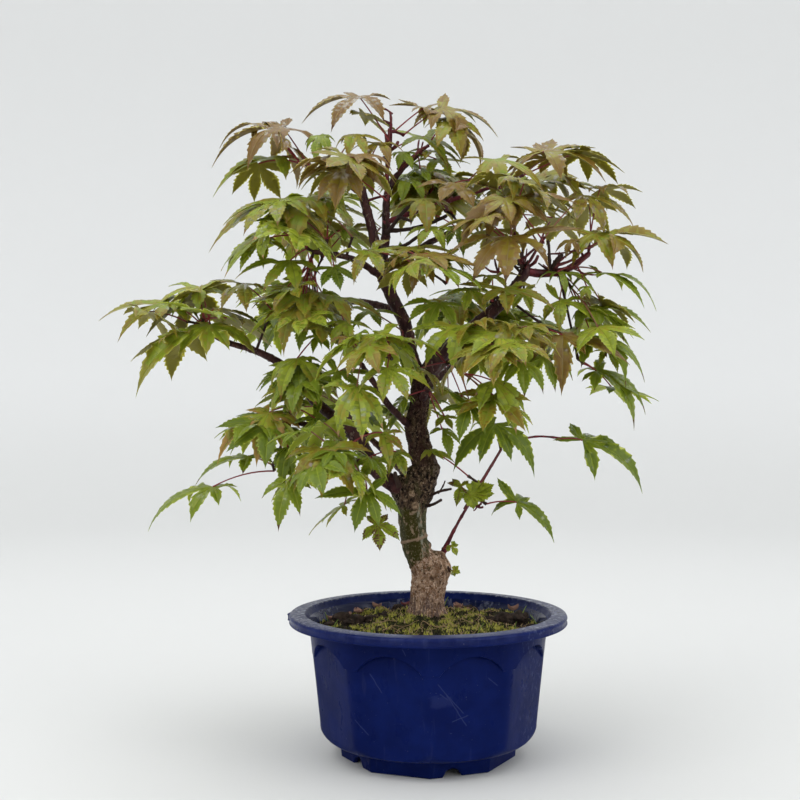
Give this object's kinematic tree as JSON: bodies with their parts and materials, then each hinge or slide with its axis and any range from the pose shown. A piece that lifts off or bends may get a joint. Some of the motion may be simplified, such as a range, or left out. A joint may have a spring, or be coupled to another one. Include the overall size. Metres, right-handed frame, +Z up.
{
  "type": "potted japanese maple bonsai",
  "caption": "Small japanese maple grown as a bonsai: one leaning trunk, forked boughs and open layered pads of green and bronze leaves, in a round nine-panelled blue plastic pot.",
  "frame": {"origin": "on the surface that the pot stands on, under the middle of the whole plant's box; the pot's axis stands 22 mm to the right of it and 2 mm in front", "axes": "+Z up along the tree; -Y towards the front view; +X to the right in it"},
  "size_m": [0.302, 0.18, 0.355],
  "materials": {
    "pot_plastic": "moulded, slightly scuffed",
    "soil": "damp earth with moss",
    "bark": "rough bark",
    "red_twig": "smooth young bark",
    "green_leaves": "wet leaf",
    "bronze_leaves": "wet leaf"
  },
  "bodies": {
    "root": {"pot": "pot_plastic", "soil": "soil", "trunk": "bark", "leader": "bark", "leader_left_arm": "bark", "leader_right_arm": "bark", "apex_shoot": "red_twig", "bough_shoulder_left": "red_twig", "bough_upper_left": "bark", "bough_upper_right": "red_twig", "bough_right": "bark", "bough_right_tip": "bark", "bough_left_low": "bark", "bough_left_long": "bark", "bough_left_end": "bark", "bough_centre_left": "bark", "bough_front": "bark", "bough_low_front": "bark", "bough_low_left": "bark", "bough_back_low": "bark", "bough_back_right": "bark", "bough_back_left": "bark", "bough_back_top": "bark", "whip_shoot": "red_twig", "whip_stalk": "red_twig", "foliage_apex_left": "bronze_leaves", "foliage_apex_right": "bronze_leaves", "foliage_top_front": "bronze_leaves", "foliage_top_back": "green_leaves", "foliage_shoulder_left": "bronze_leaves", "foliage_upper_left": "green_leaves", "foliage_upper_back_left": "green_leaves", "foliage_shoulder_right": "bronze_leaves", "foliage_shoulder_right_low": "bronze_leaves", "foliage_upper_right_front": "bronze_leaves", "foliage_upper_right_back": "green_leaves", "foliage_right_tip": "bronze_leaves", "foliage_right_tip_low": "green_leaves", "foliage_centre_high": "green_leaves", "foliage_left_long_tip": "green_leaves", "foliage_left_long": "green_leaves", "foliage_left_middle": "green_leaves", "foliage_left_middle_back": "green_leaves", "foliage_centre_front": "green_leaves", "foliage_left_inner_low": "green_leaves", "foliage_right_middle_front": "green_leaves", "foliage_right_middle": "green_leaves", "foliage_right_middle_low": "green_leaves", "foliage_right_low_front": "green_leaves", "foliage_right_inner_back": "green_leaves", "foliage_back_right_low": "green_leaves", "foliage_centre_back": "green_leaves", "foliage_low_left": "green_leaves", "foliage_low_left_tip": "green_leaves", "foliage_low_left_front": "green_leaves", "foliage_low_front": "green_leaves", "foliage_low_back_left": "green_leaves", "foliage_whip_crown": "green_leaves", "foliage_whip_far": "green_leaves", "foliage_whip_low": "green_leaves"}
  },
  "joints": []
}
